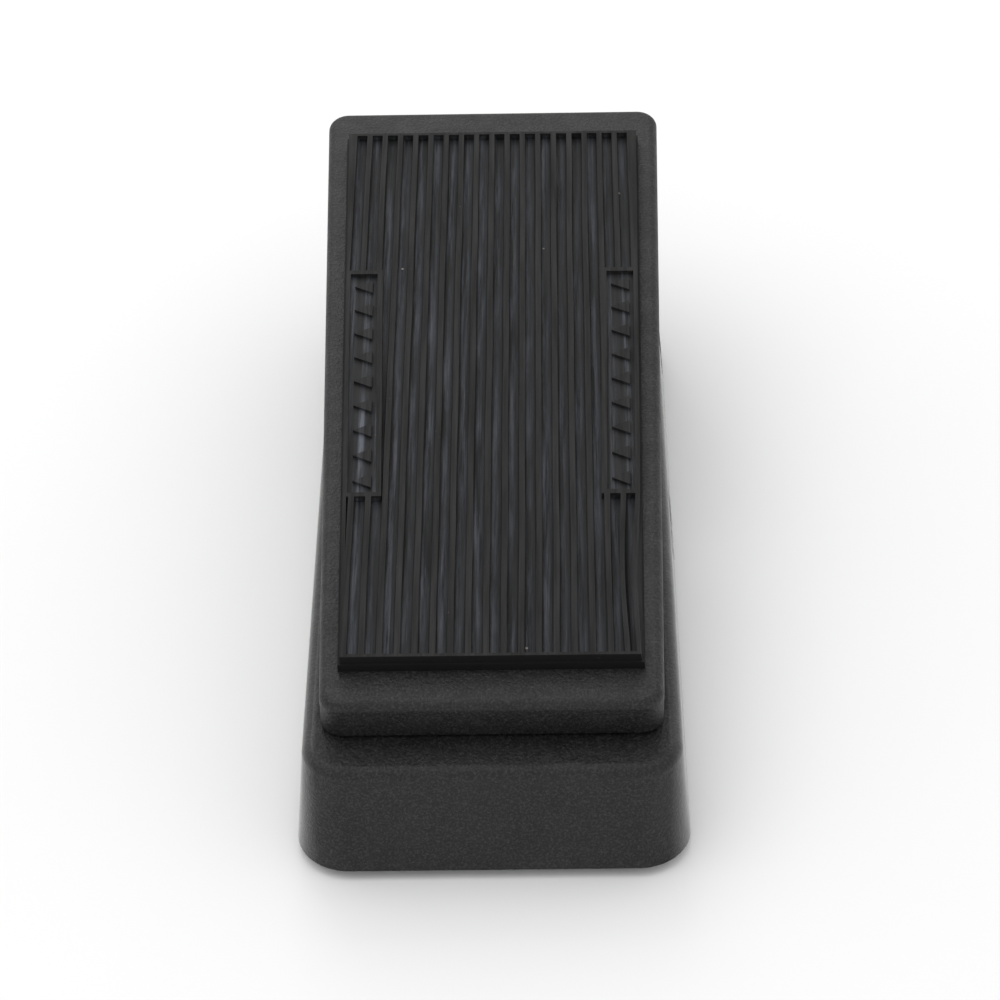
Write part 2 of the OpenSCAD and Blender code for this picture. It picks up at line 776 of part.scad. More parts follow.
// Points of one tooth in polar form: root, right flank outward, left flank inward, root.
tooth_tip_r = pitch_r + tooth_tip;
tooth_root_r = pitch_r - tooth_root;
flank_radii = [for (i = [0:5]) base_circle_r + (tooth_tip_r - base_circle_r) * i / 5];
tooth_polar = concat([[tooth_root_r, -flank_half(base_circle_r) - 0.5]],
                     [for (r = flank_radii) [r, -flank_half(r)]],
                     [for (i = [5:-1:0]) [flank_radii[i], flank_half(flank_radii[i])]],
                     [[tooth_root_r, flank_half(base_circle_r) + 0.5]]);

hub_len = 5;
hub_r = 4.8;
pinion_screw_r = 1.25;

module pinion_gear() {
    color(brass) at_pinion() difference() {
        union() {
            translate([-rack_w / 2, 0, 0]) rotate([90, 0, 90]) linear_extrude(rack_w)
                polygon([for (i = [0:pinion_n - 1], p = tooth_polar)
                    [p[0] * cos(p[1] + 360 * i / pinion_n), p[0] * sin(p[1] + 360 * i / pinion_n)]]);
            rod(rack_w / 2, rack_w / 2 + hub_len, hub_r);
        }
        rod(-rack_w, bracket_x, pot_shaft_d / 2 + 0.02);
        translate([rack_w / 2 + hub_len / 2, 0, 0]) rotate([90, 0, 0])
            cylinder(r = pinion_screw_r + 0.02, h = hub_r + bite);
    }
}

module pinion_set_screw() {
    color(steel) at_pinion() translate([rack_w / 2 + hub_len / 2, -pot_shaft_d / 2 - 0.05, 0])
        rotate([90, 0, 0]) difference() {
            cylinder(r = pinion_screw_r, h = 2.2);
            translate([0, 0, 1.2]) cylinder(r = 0.65, h = 2, $fn = 6);
        }
}

pot_face_x = bracket_x + bracket_t;
pot_bush_r = 3.6;
pot_bush_len = 7.5;
pot_bore_depth = 2.5;
pot_nut_t = 2;
pot_washer_t = 0.7;
pot_washer_r = 6.2;
pot_nut_r = 5.7;
pot_lug_t = 1.6;
pot_lug_half = 7;
pot_lug_drop = 2;

module pot_shaft() {
    color(nickel) at_pinion()
        rod(-rack_w / 2 - 0.5, pot_face_x + pot_bore_depth - 0.3, pot_shaft_d / 2);
}

module pot_body() {
    color(steel) at_pinion() difference() {
        union() {
            rod(pot_face_x, pot_face_x + pot_len, pot_r);
            rod(pot_face_x - pot_bush_len, pot_face_x + bite, pot_bush_r);
            translate([pot_face_x, -pot_lug_half, -pot_r - pot_lug_drop])
                cube([pot_lug_t, 2 * pot_lug_half, pot_r]);
        }
        rod(pot_face_x - pot_bush_len - bite, pot_face_x + pot_bore_depth,
            pot_shaft_d / 2 + run_gap);
    }
}

terminal_pitch = 4.5;
terminal_len = 4;
terminal_half = 0.8;
terminal_in = 0.5;
terminal_t = 0.6;

module pot_terminals() {
    color(brass) at_pinion() for (i = [-1:1])
        translate([pot_face_x + terminal_in, i * terminal_pitch - terminal_half,
                   -pot_r - pot_lug_drop - terminal_len])
            cube([terminal_t, 2 * terminal_half, terminal_len]);
}

module pot_washer() {
    color(steel) at_pinion() 
        ring(bracket_x - pot_washer_t, bracket_x, pot_washer_r, pot_bush_r + 0.1);
}

module pot_nut() {
    x1 = bracket_x - pot_washer_t;
    color(nickel) at_pinion() difference() {
        translate([x1 - pot_nut_t, 0, 0]) rotate([0, 90, 0])
            cylinder(r = pot_nut_r, h = pot_nut_t, $fn = 6);
        rod(x1 - pot_nut_t - bite, x1 + bite, pot_bush_r + 0.02);
    }
}

module pot_bracket() {
    tab_half = 3;
    top = deck_under_z - tab_drop;
    low = foot_h + 9;
    color(steel) difference() {
        union() {
            translate([bracket_x, tab_y[0] - tab_half, low])
                cube([bracket_t, tab_y[1] - tab_y[0] + 2 * tab_half, top - low]);
            for (y = tab_y) translate([bracket_x, y - tab_half, top - bracket_t])
                cube([bracket_t + 9, 2 * tab_half, bracket_t]);
        }
        at_pinion() rod(bracket_x - bite, pot_face_x + bite, pot_bush_r + 0.1);
        for (y = tab_y) translate([tab_screw_x, y, top - bracket_t - bite])
            cylinder(r = screw_r + screw_gap, h = bracket_t + 2 * bite);
    }
}

module pot_bracket_screws() {
    for (y = tab_y)
        rising_screw(tab_screw_x, y, deck_under_z - tab_drop - bracket_t,
                     bracket_t + tab_drop + screw_bite);
}

// ---- Jacks: drawn for the right side, with the plug's axis along X at the origin ----

frame_t = 1.2;
frame_half = 7;
frame_drop = 7.5;
jack_frame_x = jack_pad_x - frame_t;
jack_collar_t = 1.2;
jack_washer_t = 0.7;
jack_nut_t = 2.2;
jack_end_x = jack_seat_x + jack_washer_t + jack_nut_t + 1;
arm_z = 8;
arm_len = 12;
stack_half = 4;
stack_z = 4;
spring_z = 5.6;
spring_t = 0.5;
spring_reach = 24;
spring_half = 2;
spring_slope = 4;
spring_dip = 3;
spring_lip = 3;
spring_lip_rise = 1.5;
stack_gap = 3;
tab_reach = 3;
tab_w = 2;
tab_x = jack_frame_x - arm_len + stack_gap + tab_w / 2;

module jack_bushing(side) {
    color(nickel) at_jack(side) difference() {
        union() {
            rod(jack_frame_x - jack_collar_t, jack_frame_x, jack_bush_r + 1);
            rod(jack_frame_x - jack_collar_t, jack_end_x, jack_bush_r);
        }
        rod(0, base_wid, jack_bore_d / 2);
    }
}

// Sleeve contact: a plate round the bushing, and an arm that carries the stack.
module jack_frame(side) {
    color(nickel) at_jack(side) {
        difference() {
            translate([jack_frame_x, -frame_half, -frame_drop])
                cube([frame_t, 2 * frame_half, frame_drop + arm_z + frame_t]);
            rod(jack_frame_x - bite, jack_pad_x + bite, jack_bush_r + 0.02);
        }
        translate([jack_frame_x - arm_len, -stack_half, arm_z])
            cube([arm_len + frame_t / 2, 2 * stack_half, frame_t]);
    }
}

// Insulator blocks above and below the spring.
module jack_stack(side) {
    x0 = jack_frame_x - arm_len;
    color(phenolic) at_jack(side) {
        translate([x0, -stack_half, stack_z])
            cube([arm_len - stack_gap, 2 * stack_half, spring_z - stack_z]);
        translate([x0, -stack_half, spring_z + spring_t])
            cube([arm_len - stack_gap, 2 * stack_half, arm_z - spring_z - spring_t]);
    }
}

// Tip contact: a strip clamped in the stack, with a bent end that presses on the plug's tip.
module jack_spring(side) {
    x1 = jack_frame_x - stack_gap;
    bend_x = jack_frame_x - spring_reach;
    slope_x = bend_x + spring_slope;
    lip_x = bend_x - spring_lip;
    low = spring_z - spring_dip;
    lip_z = low + spring_lip_rise;
    color(brass) at_jack(side) {
        translate([0, spring_half, 0]) rotate([90, 0, 0]) linear_extrude(2 * spring_half)
            polygon([[x1, spring_z], [x1, spring_z + spring_t], [slope_x, spring_z + spring_t],
                     [bend_x, low + spring_t], [lip_x, lip_z + spring_t], [lip_x, lip_z],
                     [bend_x, low], [slope_x, spring_z]]);
        translate([tab_x - tab_w / 2, spring_half / 2, spring_z])
            cube([tab_w, stack_half + tab_reach - spring_half / 2, spring_t]);
    }
}

module jack_washer(side) {
    color(steel) at_jack(side) ring(jack_seat_x, jack_seat_x + jack_washer_t, 7.4, jack_bush_r + 0.15);
}

module jack_nut(side) {
    x0 = jack_seat_x + jack_washer_t;
    color(nickel) at_jack(side) difference() {
        translate([x0, 0, 0]) rotate([0, 90, 0]) cylinder(r = 7.3, h = jack_nut_t, $fn = 6);
        rod(x0 - bite, x0 + jack_nut_t + bite, jack_bush_r + 0.02);
    }
}

// ---- Wires: soft tubes along hand-laid routes ----

wire_r = 0.8;
wire_sides = 8;

function unit(v) = v / norm(v);
// Direction of a route at one of its points.
function heading(p, i) = unit(p[min(i + 1, len(p) - 1)] - p[max(i - 1, 0)]);
// A direction square to the first heading, and the same direction carried on to a later heading.
function across(h) = unit(cross(abs(h[2]) > 0.9 ? [0, 1, 0] : [0, 0, 1], h));
function carried(u, h) = unit(u - (u * h) * h);
// Smooth point between p[i] and p[i + 1] by a Catmull-Rom curve.
function between(p, i, t) = let (
    a = p[max(i - 1, 0)], b = p[i], c = p[i + 1], d = p[min(i + 2, len(p) - 1)])
    0.5 * (2 * b + (c - a) * t + (2 * a - 5 * b + 4 * c - d) * t * t
           + (3 * b - a - 3 * c + d) * t * t * t);
function smooth(p, n) = concat([for (i = [0:len(p) - 2], k = [0:n - 1]) between(p, i, k / n)],
                               [p[len(p) - 1]]);

module wire(route, tint) {
    path = smooth(route, 4);
    rings = len(path);
    sideways = [for (i = 0, u = across(heading(path, 0)); i < rings;
                     u = carried(u, heading(path, min(i + 1, rings - 1))), i = i + 1) u];
    points = [for (i = [0:rings - 1], k = [0:wire_sides - 1]) let (
        u = sideways[i], v = cross(heading(path, i), u), a = 360 * k / wire_sides)
        path[i] + wire_r * (cos(a) * u + sin(a) * v)];
    side_faces = [for (i = [0:rings - 2], k = [0:wire_sides - 1], half = [0, 1]) let (
        n = (k + 1) % wire_sides, b = i * wire_sides, far = b + wire_sides)
        half == 0 ? [b + k, far + k, far + n] : [b + k, far + n, b + n]];
    first = [for (k = [0:wire_sides - 1]) k];
    last = [for (k = [wire_sides - 1:-1:0]) (rings - 1) * wire_sides + k];
    color(tint) polyhedron(points, concat(side_faces, [first, last]), convexity = 6);
}

tab_end_y = jack_y + stack_half + tab_reach;
tab_wire_z = jack_z + spring_z + spring_t / 2;
terminal_right = pot_face_x + terminal_in + terminal_t;
terminal_wire_z = pinion_z - pot_r - pot_lug_drop - terminal_len / 2;
sleeve_z = jack_z - frame_drop + 1.2;
low_z = plate_top_z + 1.7;

module wire_input_hot() {
    y = pinion_y + terminal_pitch;
    z = terminal_wire_z;
    wire([[tab_x, tab_end_y, tab_wire_z], [tab_x, tab_end_y + 1, tab_wire_z],
          [tab_x, tab_end_y + 2, tab_wire_z], [tab_x - 0.5, tab_end_y + 7, tab_wire_z - 4],
          [tab_x - 1, tab_end_y + 8, low_z + 5], [tab_x - 2.5, jack_y + 10, low_z + 3],
          [tab_x - 3.5, jack_y, low_z + 1.8], [tab_x - 4, jack_y - 10, low_z + 0.4],
          [tab_x - 6, pinion_y + 17, low_z + 0.3], [tab_x - 10, y + 2, low_z + 1.3],
          [terminal_right + 4, y, z], [terminal_right + 2, y, z], [terminal_right, y, z]],
         [0.75, 0.12, 0.1]);
}

module wire_output_hot() {
    x = pot_face_x + terminal_in;
    y = pinion_y;
    z = terminal_wire_z;
    wire([[-tab_x, tab_end_y, tab_wire_z], [-tab_x, tab_end_y + 1, tab_wire_z],
          [-tab_x, tab_end_y + 2, tab_wire_z], [0.5 - tab_x, tab_end_y + 7, tab_wire_z - 4],
          [1 - tab_x, tab_end_y + 8, low_z + 5], [2.5 - tab_x, jack_y + 10, low_z + 3],
          [5 - tab_x, jack_y, low_z + 1.8], [11 - tab_x, jack_y - 12, low_z + 0.3],
          [-12, pinion_y + 18, low_z], [4, pinion_y + 5, low_z + 0.3],
          [x - 4, y, z], [x - 2, y, z], [x, y, z]], [0.9, 0.88, 0.84]);
}

module wire_ground_link() {
    x = jack_frame_x;
    y = jack_y + 4;
    z = sleeve_z;
    wire([[x, y, z], [x - 1, y, z], [x - 2, y, z], [x - 4, y + 0.5, low_z + 1.4],
          [x - 9, y + 2, low_z], [20, y + 8, low_z], [0, y + 10, low_z], [-20, y + 8, low_z],
          [9 - x, y + 2, low_z], [4 - x, y + 0.5, low_z + 1.4], [2 - x, y, z], [1 - x, y, z],
          [-x, y, z]], [0.12, 0.12, 0.13]);
}

module wire_pot_ground() {
    x = jack_frame_x;
    y = jack_y - 4;
    y0 = pinion_y - terminal_pitch;
    z = terminal_wire_z;
    wire([[terminal_right, y0, z], [terminal_right + 2, y0, z], [terminal_right + 4, y0, z],
          [terminal_right + 10, y0 + 2, low_z + 0.8], [x - 8, y0 + 14, low_z],
          [x - 5, y - 14, low_z], [x - 4.5, y - 6, low_z + 0.3], [x - 4, y - 1, low_z + 1.6],
          [x - 2, y, sleeve_z], [x - 1, y, sleeve_z], [x, y, sleeve_z]], [0.12, 0.3, 0.14]);
}

base_housing();
bottom_plate();
foot(-1, -1);  // foot_heel_left
foot(1, -1);  // foot_heel_right
foot(-1, 1);  // foot_toe_left
foot(1, 1);  // foot_toe_right
foot_screws();
bumper(-1, heel_bumper_at);  // heel_bumper_left
bumper(1, heel_bumper_at);  // heel_bumper_right
bumper(-1, toe_bumper_at);  // toe_bumper_left
bumper(1, toe_bumper_at);  // toe_bumper_right
side_mark();
pivot_bush(-1);  // pivot_bush_left
pivot_bush(1);  // pivot_bush_right
brake_block();
brake_cap();
brake_screws();
treadle();
tread_pad();
pivot_shaft();
shaft_set_screws();
rack_bracket();
rack_bracket_screws();
rack_pin();
rack_pin_clip();
rack();
rack_guide();
rack_guide_screws();
pinion_gear();
pinion_set_screw();
pot_shaft();
pot_body();
pot_terminals();
pot_washer();
pot_nut();
pot_bracket();
pot_bracket_screws();
jack_bushing(1);  // input_jack_bushing
jack_frame(1);  // input_jack_frame
jack_stack(1);  // input_jack_stack
jack_spring(1);  // input_jack_spring
jack_washer(1);  // input_jack_washer
jack_nut(1);  // input_jack_nut
jack_bushing(-1);  // output_jack_bushing
jack_frame(-1);  // output_jack_frame
jack_stack(-1);  // output_jack_stack
jack_spring(-1);  // output_jack_spring
jack_washer(-1);  // output_jack_washer
jack_nut(-1);  // output_jack_nut
wire_input_hot();
wire_output_hot();
wire_ground_link();
wire_pot_ground();
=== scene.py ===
"""Looks of the rocker volume pedal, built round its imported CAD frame. Lengths are in metres."""

import json
import math

import bmesh
import bpy
from mathutils import Matrix, Vector, noise


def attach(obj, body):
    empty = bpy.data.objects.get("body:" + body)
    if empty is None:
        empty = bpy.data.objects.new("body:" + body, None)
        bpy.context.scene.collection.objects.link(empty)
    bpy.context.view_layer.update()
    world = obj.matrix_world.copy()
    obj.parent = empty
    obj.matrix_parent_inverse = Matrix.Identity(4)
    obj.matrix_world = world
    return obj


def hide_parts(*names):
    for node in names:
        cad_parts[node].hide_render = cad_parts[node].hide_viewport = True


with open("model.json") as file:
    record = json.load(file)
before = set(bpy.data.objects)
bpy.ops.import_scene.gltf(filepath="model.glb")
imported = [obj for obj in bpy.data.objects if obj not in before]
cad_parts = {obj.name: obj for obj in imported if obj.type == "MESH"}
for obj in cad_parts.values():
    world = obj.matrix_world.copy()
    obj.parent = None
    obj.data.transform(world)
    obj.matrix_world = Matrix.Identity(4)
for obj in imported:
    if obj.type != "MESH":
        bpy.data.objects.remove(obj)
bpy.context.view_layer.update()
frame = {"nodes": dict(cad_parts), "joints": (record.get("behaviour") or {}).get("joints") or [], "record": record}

MM = 0.001


# ---- The frame: where things are ----

def joint(name):
    return next(j for j in frame["joints"] if j["name"] == name)


PIVOT = Vector(joint("treadle_hinge")["pos_m"])
TRAVEL = math.radians(joint("treadle_hinge")["range_deg"][1])
REST_SLOPE = math.radians(6.75)
ON_TREADLE = Matrix.Translation(PIVOT) @ Matrix.Rotation(REST_SLOPE, 4, "X")


def extent(node, place=Matrix.Identity(4)):
    """Lowest and highest corner of a CAD node, measured along the axes of a place."""
    back = place.inverted()
    points = [back @ v.co for v in frame["nodes"][node].data.vertices]
    return [Vector([pick(p[k] for p in points) for k in range(3)]) for pick in (min, max)]


BASE_LOW, BASE_HIGH = extent("base_housing")
HALF_WID, HALF_LEN = BASE_HIGH.x, BASE_HIGH.y
FOOT_H = BASE_LOW.z
DECK_Z = extent("brake_block")[0].z
WALL = 3 * MM
SIDE_LEAN = 2.2 * MM
END_LEAN = 4.8 * MM
HEEL_R = 14 * MM
TOE_R = 32 * MM
DECK_EDGE = 3 * MM
WALL_UPRIGHT = 0.5 * MM

SHAFT_R = 3 * MM
BUSH_R = 4.55 * MM
FIT_GAP = 0.02 * MM

TREADLE_LOW, TREADLE_HIGH = extent("treadle", ON_TREADLE)
HEEL_Y, TOE_Y, TREADLE_TOP = TREADLE_LOW.y, TREADLE_HIGH.y, TREADLE_HIGH.z
HEEL_HALF = 43.8 * MM
TOE_HALF = 49.6 * MM
TREADLE_R = 6 * MM
TREADLE_EDGE = 2.5 * MM
TOP_T = 3 * MM
SKIRT_T = 3 * MM
SKIRT_DROP = PIVOT.z - DECK_Z - 1 * MM

PAD_LOW, PAD_HIGH = extent("tread_pad", ON_TREADLE)
PAD_Y0, PAD_Y1, PAD_TOP = PAD_LOW.y, PAD_HIGH.y, PAD_HIGH.z
PAD_SIDE_HEEL = 4.9 * MM
PAD_SIDE_TOE = 5.8 * MM
PAD_FALL = 2 * MM
GROOVES = 18
GROOVE_PITCH = 4.55 * MM
RIB_W = 1.55 * MM
GROOVE_DEPTH = 2.2 * MM
PAD_FRAME = 1.6 * MM
RIB_TURN = math.radians(-0.36)
PANEL_LEN = 87 * MM
PANEL_W = 7.6 * MM
PANEL_NEAR = 1.9 * MM
PANEL_EDGE = 1.5 * MM
PANEL_DEPTH = 1.4 * MM
PANEL_Y = (PAD_Y0 + PAD_Y1) / 2 - PAD_FALL
ARROWS = 9
ARROW_W = 5 * MM
ARROW_H = 0.9 * MM


def treadle_half(y):
    """Half the treadle's width at a place along it."""
    return HEEL_HALF + (TOE_HALF - HEEL_HALF) * (y - HEEL_Y) / (TOE_Y - HEEL_Y)


def pad_half(y):
    """Half the pad's width at a place along it."""
    heel = treadle_half(PAD_Y0) - PAD_SIDE_HEEL
    toe = treadle_half(PAD_Y1) - PAD_SIDE_TOE
    return heel + (toe - heel) * (y - PAD_Y0) / (PAD_Y1 - PAD_Y0)


# ---- Mesh tools ----

def new_piece(name, verts, faces):
    mesh = bpy.data.meshes.new(name)
    mesh.from_pydata([tuple(v) for v in verts], [], faces)
    mesh.validate()
    made = bmesh.new()
    made.from_mesh(mesh)
    bmesh.ops.recalc_face_normals(made, faces=made.faces)
    made.to_mesh(mesh)
    made.free()
    piece = bpy.data.objects.new(name, mesh)
    bpy.context.scene.collection.objects.link(piece)
    return piece


def loft(name, rings):
    """Closed skin through rings of the same number of points, with flat ends."""
    count = len(rings[0])
    verts = [p for ring in rings for p in ring]
    faces = [list(range(count))[::-1], [len(verts) - count + k for k in range(count)]]
    for i in range(len(rings) - 1):
        for k in range(count):
            n = (k + 1) % count
            faces.append([i * count + k, i * count + n, (i + 1) * count + n, (i + 1) * count + k])
    return new_piece(name, verts, faces)


def prism(name, outline, low, high, axis="Z"):
    """Outline of 2-D points drawn between two heights along an axis."""
    turn = {"Z": lambda u, v, w: (u, v, w), "X": lambda u, v, w: (w, u, v),
            "Y": lambda u, v, w: (u, w, v)}[axis]
    return loft(name, [[turn(u, v, w) for u, v in outline] for w in (low, high)])


def circle(radius, centre=(0, 0), count=48):
    return [(centre[0] + radius * math.cos(2 * math.pi * k / count),
             centre[1] + radius * math.sin(2 * math.pi * k / count)) for k in range(count)]


def box_outline(x0, x1, y0, y1):
    return [(x0, y0), (x1, y0), (x1, y1), (x0, y1)]


def rounded_ring(centres, radii, z, steps=14):
    """Ring round four corner circles, counter-clockwise from the heel's right corner."""
    ring = []
    for k, ((x, y), r) in enumerate(zip(centres, radii)):
        for i in range(steps + 1):
            a = math.radians(90 * (k - 1 + i / steps))
            ring.append((x + r * math.cos(a), y + r * math.sin(a), z))
    return ring


def settle(piece):
    """Makes the modifiers' result the piece's own mesh."""
    shape = piece.evaluated_get(bpy.context.evaluated_depsgraph_get())
    mesh = bpy.data.meshes.new_from_object(shape)
    piece.modifiers.clear()
    piece.data = mesh
    return piece


def combine(piece, tools, operation):
    """Cuts the tools from the piece, or joins them to it, and removes the tools."""
    for tool in tools:
        modifier = piece.modifiers.new("combine", "BOOLEAN")
        modifier.operation = operation
        modifier.solver = "EXACT"
        modifier.object = tool
    settle(piece)
    for tool in tools:
        bpy.data.objects.remove(tool)
    return piece


def placed(piece, matrix):
    piece.data.transform(matrix)
    return piece


def slice_along(piece, axis, low, high, step):
    """Adds cuts across a piece, so that it can bend smoothly."""
    made = bmesh.new()
    made.from_mesh(piece.data)
    for k in range(1, math.ceil((high - low) / step)):
        point = axis * (low + k * step)
        bmesh.ops.bisect_plane(made, geom=made.verts[:] + made.edges[:] + made.faces[:],
                               plane_co=point, plane_no=axis)
    made.to_mesh(piece.data)
    made.free()


def soften(piece, width, segments=2, angle=35):
    """Rounds the sharp edges a little, and shades the rest smooth."""
    modifier = piece.modifiers.new("soften", "BEVEL")
    modifier.limit_method = "ANGLE"
    modifier.angle_limit = math.radians(angle)
    modifier.width = width
    modifier.segments = segments
    modifier.use_clamp_overlap = True
    settle(piece)
    return shade(piece, angle)


def shade(piece, angle=35):
    piece.data.shade_smooth()
    made = bmesh.new()
    made.from_mesh(piece.data)
    for edge in made.edges:
        if len(edge.link_faces) == 2:
            edge.smooth = edge.calc_face_angle(0) < math.radians(angle)
    made.to_mesh(piece.data)
    made.free()
    modifier = piece.modifiers.new("normals", "WEIGHTED_NORMAL")
    modifier.keep_sharp = True
    modifier.weight = 100
    return piece


def finish_piece(piece, body, slot, material, *nodes):
    """Gives a piece its material and body, and hides the CAD nodes it stands for; the slot is not used."""
    piece.data.materials.clear()
    piece.data.materials.append(material)
    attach(piece, body)
    if nodes:
        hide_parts(*nodes)
    return piece


# ---- Material tools ----

class Nodes:
    """A material under construction: makes and joins its nodes."""

    def __init__(self, name):
        self.material = bpy.data.materials.new(name)
        self.material.use_nodes = True
        self.tree = self.material.node_tree
        self.shader = self.tree.nodes["Principled BSDF"]
        self.place = self.node("ShaderNodeTexCoord").outputs["Object"]

    def node(self, kind, **settings):
        made = self.tree.nodes.new(kind)
        for key, value in settings.items():
            setattr(made, key, value)
        return made

    def feed(self, made, **inputs):
        for key, value in inputs.items():
            socket = made.inputs[key.replace("_", " ")]
            if isinstance(value, bpy.types.NodeSocket):
                self.tree.links.new(value, socket)
            else:
                socket.default_value = value
        return made

    def moved(self, source=None, location=(0, 0, 0), rotation=(0, 0, 0), scale=(1, 1, 1),
              kind="POINT"):
        made = self.node("ShaderNodeMapping", vector_type=kind)
        self.feed(made, Vector=source or self.place, Location=location, Rotation=rotation,
                  Scale=scale)
        return made.outputs["Vector"]

    def noise(self, scale, detail=4.0, roughness=0.55, source=None):
        made = self.feed(self.node("ShaderNodeTexNoise"), Vector=source or self.place,
                         Scale=scale, Detail=detail, Roughness=roughness)
        return made.outputs["Fac"]

    def cells(self, scale):
        made = self.feed(self.node("ShaderNodeTexVoronoi"), Vector=self.place, Scale=scale)
        return made.outputs["Distance"]

    def ramp(self, value, *stops):
        """Maps 0..1 to colours or greys. Each stop is (place, grey or colour)."""
        made = self.node("ShaderNodeValToRGB")
        ramp = made.color_ramp
        while len(ramp.elements) < len(stops):
            ramp.elements.new(0.5)
        for element, (place, tone) in zip(ramp.elements, stops):
            element.position = place
            colour = tone if isinstance(tone, (tuple, list)) else (tone,) * 3
            element.color = (*colour, 1)
        self.tree.links.new(value, made.inputs["Fac"])
        return made.outputs["Color"]

    def math(self, operation, a, b=None):
        made = self.node("ShaderNodeMath", operation=operation)
        for socket, value in zip(made.inputs, (a, b)):
            if isinstance(value, bpy.types.NodeSocket):
                self.tree.links.new(value, socket)
            elif value is not None:
                socket.default_value = value
        return made.outputs["Value"]

    def split(self, source):
        made = self.node("ShaderNodeSeparateXYZ")
        self.tree.links.new(source, made.inputs["Vector"])
        return made.outputs

    def mix(self, factor, a, b):
        made = self.node("ShaderNodeMix", data_type="RGBA")
        for socket, value in zip((made.inputs[0], made.inputs[6], made.inputs[7]), (factor, a, b)):
            if isinstance(value, bpy.types.NodeSocket):
                self.tree.links.new(value, socket)
            elif isinstance(value, (int, float)):
                socket.default_value = value
            else:
                socket.default_value = (*value, 1)
        return made.outputs[2]

    def bump(self, height, strength, distance, under=None):
        made = self.feed(self.node("ShaderNodeBump"), Height=height, Strength=strength,
                         Distance=distance)
        if under is not None:
            self.tree.links.new(under, made.inputs["Normal"])
        return made.outputs["Normal"]

    def done(self, colour, roughness, normal=None, **plain):
        self.feed(self.shader, **{"Base_Color": colour, "Roughness": roughness})
        if normal is not None:
            self.tree.links.new(normal, self.shader.inputs["Normal"])
        for key, value in plain.items():
            self.shader.inputs[key.replace("_", " ")].default_value = value
        return self.material


def grey(level):
    return (level, level, level)


# ---- Materials ----

def cast_paint(name, wall_gloss):
    """Black powder coat on a casting: fine grain with painted glints, a little dust, and smoother side walls."""
    n = Nodes(name)
    mottle = n.noise(60, 3)
    tone = n.ramp(mottle, (0.3, grey(0.0055)), (0.7, grey(0.0095)))
    # Fine light specks: grain of the coat, with painted glints standing in for the sparkle of its bumpy surface
    grain_and_glints = n.noise(1500, 3, 0.75)
    tone = n.mix(n.ramp(grain_and_glints, (0.46, 0.0), (0.74, 0.8)), tone, (0.05, 0.048, 0.049))
    dust = n.ramp(n.cells(62), (0.018, 1.0), (0.03, 0.0))
    tone = n.mix(dust, tone, (0.22, 0.21, 0.2))
    peel = n.bump(n.noise(1250, 3, 0.6), 0.7, 0.4 * MM)
    peel = n.bump(n.noise(420, 2, 0.5), 0.3, 0.5 * MM, under=peel)
    rough = n.ramp(n.noise(140, 4), (0.3, 0.4), (0.72, 0.54))
    if wall_gloss:
        x = n.split(n.place)["X"]
        fade = 3 * SIDE_LEAN
        out = n.math("DIVIDE", n.math("SUBTRACT", n.math("ABSOLUTE", x), HALF_WID - fade), fade)
        gloss = n.ramp(out, (0.1, 0.0), (0.75, 1.0))
        n.feed(n.shader, Coat_Weight=gloss)
    return n.done(tone, rough, peel, Specular_IOR_Level=0.32, Coat_Roughness=0.12)


